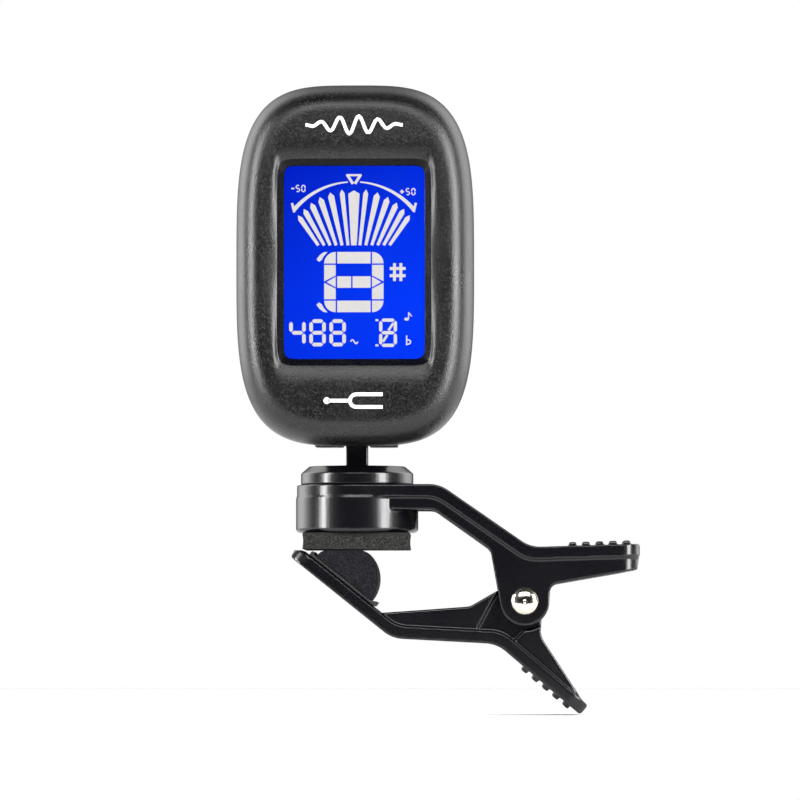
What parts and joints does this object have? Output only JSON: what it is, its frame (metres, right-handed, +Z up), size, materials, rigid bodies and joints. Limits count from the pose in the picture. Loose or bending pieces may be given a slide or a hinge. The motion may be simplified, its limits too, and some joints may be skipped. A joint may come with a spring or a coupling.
{
  "type": "clip on tuner",
  "caption": "Small black clip-on instrument tuner: a rounded head with a blue backlit display on a tilting, swivelling stem over a sprung clip with padded jaws.",
  "frame": {"origin": "centre of the fixed pad's clamping face, on the swivel axis", "axes": "+X from the jaws to the handles, -Y out of the display, +Z up through the head"},
  "size_m": [0.0611, 0.0265, 0.0951],
  "materials": {
    "shell_plastic": "fine spark-eroded grain, satin black",
    "clip_plastic": "moulded black, half gloss",
    "button_rubber": "matt dark grey",
    "pad_rubber": "speckled dark grey foam rubber",
    "round_pad_rubber": "matt charcoal rubber",
    "tape": "double-sided tape",
    "nickel": "bright nickel plate with a warm tint",
    "zinc_steel": "zinc-plated steel",
    "spring_steel": "drawn spring wire",
    "window": "clear acrylic",
    "lcd": "negative liquid crystal panel, blue backlight",
    "white_plastic": "white moulded",
    "elastomer": "striped conductive elastomer",
    "board": "green solder mask",
    "chip": "black epoxy",
    "contact": "gold-flashed spring contact",
    "cell_steel": "stainless coin cell",
    "piezo_brass": "brass and ceramic disc",
    "wire": "insulated wire",
    "nylon": "natural nylon",
    "dark_plastic": "dark moulded"
  },
  "bodies": {
    "clip": {"upper_arm": "clip_plastic", "barrel_base": "dark_plastic", "upper_pad_tape": "tape", "upper_pad": "pad_rubber", "pivot_rivet": "nickel", "rivet_cap": "nickel", "torsion_spring": "spring_steel"},
    "jaw": {"lower_arm": "clip_plastic", "pad_tape": "tape", "pad_carrier": "dark_plastic", "round_pad": "round_pad_rubber"},
    "swivel": {"swivel_stem": "clip_plastic", "swivel_washer": "zinc_steel", "swivel_screw": "zinc_steel"},
    "head": {"tilt_pin": "zinc_steel", "tilt_washers": "nylon", "front_shell": "shell_plastic", "rear_shell": "shell_plastic", "window_gasket": "tape", "display_window": "window", "lcd_panel": "lcd", "lcd_frame": "white_plastic", "backlight_panel": "white_plastic", "contact_strip": "elastomer", "circuit_board": "board", "tuner_chip": "chip", "crystal": "zinc_steel", "button_switches": "zinc_steel", "battery_holder": "dark_plastic", "negative_contact": "contact", "positive_contact": "contact", "coin_cell": "cell_steel", "piezo_disc": "piezo_brass", "piezo_leads": "wire", "case_screws": "zinc_steel"},
    "power_button": {"power_button": "button_rubber"},
    "pitch_button": {"pitch_button": "button_rubber"},
    "key_button": {"key_button": "button_rubber"},
    "battery_cover": {"battery_cover": "shell_plastic"}
  },
  "joints": [
    {"name": "jaw_open", "type": "hinge", "parent": "clip", "child": "jaw", "pos_m": [0.0256, 0, -0.0079], "axis": [0, -1, 0], "range_deg": [0, 40], "stiffness_Nm_per_rad": 0.35, "springref_deg": -34.38, "deforming": ["torsion_spring"]},
    {"name": "head_swivel", "type": "hinge", "parent": "clip", "child": "swivel", "pos_m": [0, 0, 0.0099], "axis": [0, 0, 1], "continuous": true},
    {"name": "head_tilt", "type": "hinge", "parent": "swivel", "child": "head", "pos_m": [0, 0, 0.0194], "axis": [1, 0, 0], "range_deg": [-90, 12]},
    {"name": "power_button_press", "type": "slide", "parent": "head", "child": "power_button", "axis": [0, -1, 0], "range_m": [0, 0.0005], "stiffness_N_per_m": 400, "springref_m": -0.0005},
    {"name": "pitch_button_press", "type": "slide", "parent": "head", "child": "pitch_button", "axis": [0, -1, 0], "range_m": [0, 0.0005], "stiffness_N_per_m": 400, "springref_m": -0.0005},
    {"name": "key_button_press", "type": "slide", "parent": "head", "child": "key_button", "axis": [0, -1, 0], "range_m": [0, 0.0005], "stiffness_N_per_m": 400, "springref_m": -0.0005},
    {"name": "cover_turn", "type": "hinge", "parent": "head", "child": "battery_cover", "pos_m": [0, -0.004, 0.04], "axis": [0, 1, 0], "range_deg": [0, 45]}
  ]
}
